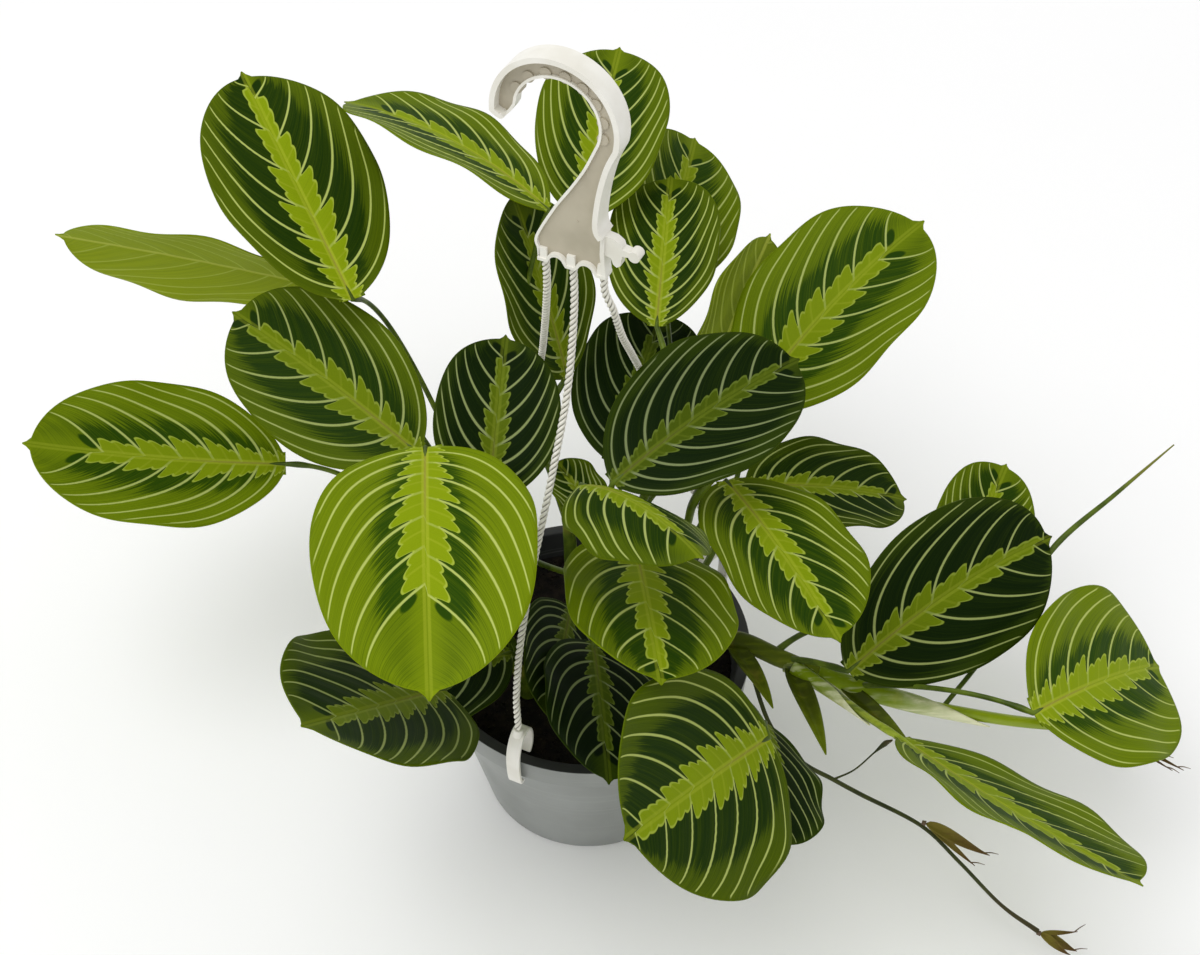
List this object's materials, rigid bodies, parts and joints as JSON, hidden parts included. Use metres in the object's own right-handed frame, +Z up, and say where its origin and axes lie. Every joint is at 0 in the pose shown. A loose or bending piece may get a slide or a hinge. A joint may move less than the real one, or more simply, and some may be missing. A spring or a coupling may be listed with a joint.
{
  "type": "potted prayer plant",
  "caption": "Leafy prayer plant in a small tapered plastic pot that stands on its base, with a clip-on hanger of thin stiff strands rising through the leaves to a hook.",
  "frame": {"origin": "centre of the pot's flat base, on the surface it stands on", "axes": "+Z up through the pot to the hook, -Y to the front of the plant, +X to the side the long stem trails to"},
  "size_m": [0.4922, 0.3993, 0.3749],
  "materials": {
    "pot_plastic": "satin",
    "hanger_plastic": "semi-gloss",
    "strand_cord": "semi-matte",
    "soil": "rough",
    "leaf": "satin",
    "dried_bract": "matte"
  },
  "bodies": {
    "root": {"pot": "pot_plastic", "soil": "soil", "hanger_hook": "hanger_plastic", "hanger_clip_front": "hanger_plastic", "hanger_strand_front": "strand_cord", "hanger_clip_right": "hanger_plastic", "hanger_strand_right": "strand_cord", "hanger_clip_back": "hanger_plastic", "hanger_strand_back": "strand_cord", "leafy_stem_back_left": "leaf", "leafy_stem_left": "leaf", "leafy_stem_front_left": "leaf", "leafy_stem_back": "leaf", "leafy_stem_back_right": "leaf", "leafy_stem_right": "leaf", "leafy_stem_middle": "leaf", "leafy_stem_front": "leaf", "leafy_stem_front_right": "leaf", "leafy_stem_low": "leaf", "leafy_stem_rim": "leaf", "trailing_stem": "leaf", "dried_bract_middle": "dried_bract", "dried_flower_end": "dried_bract", "dried_stem_tip": "dried_bract"}
  },
  "joints": []
}
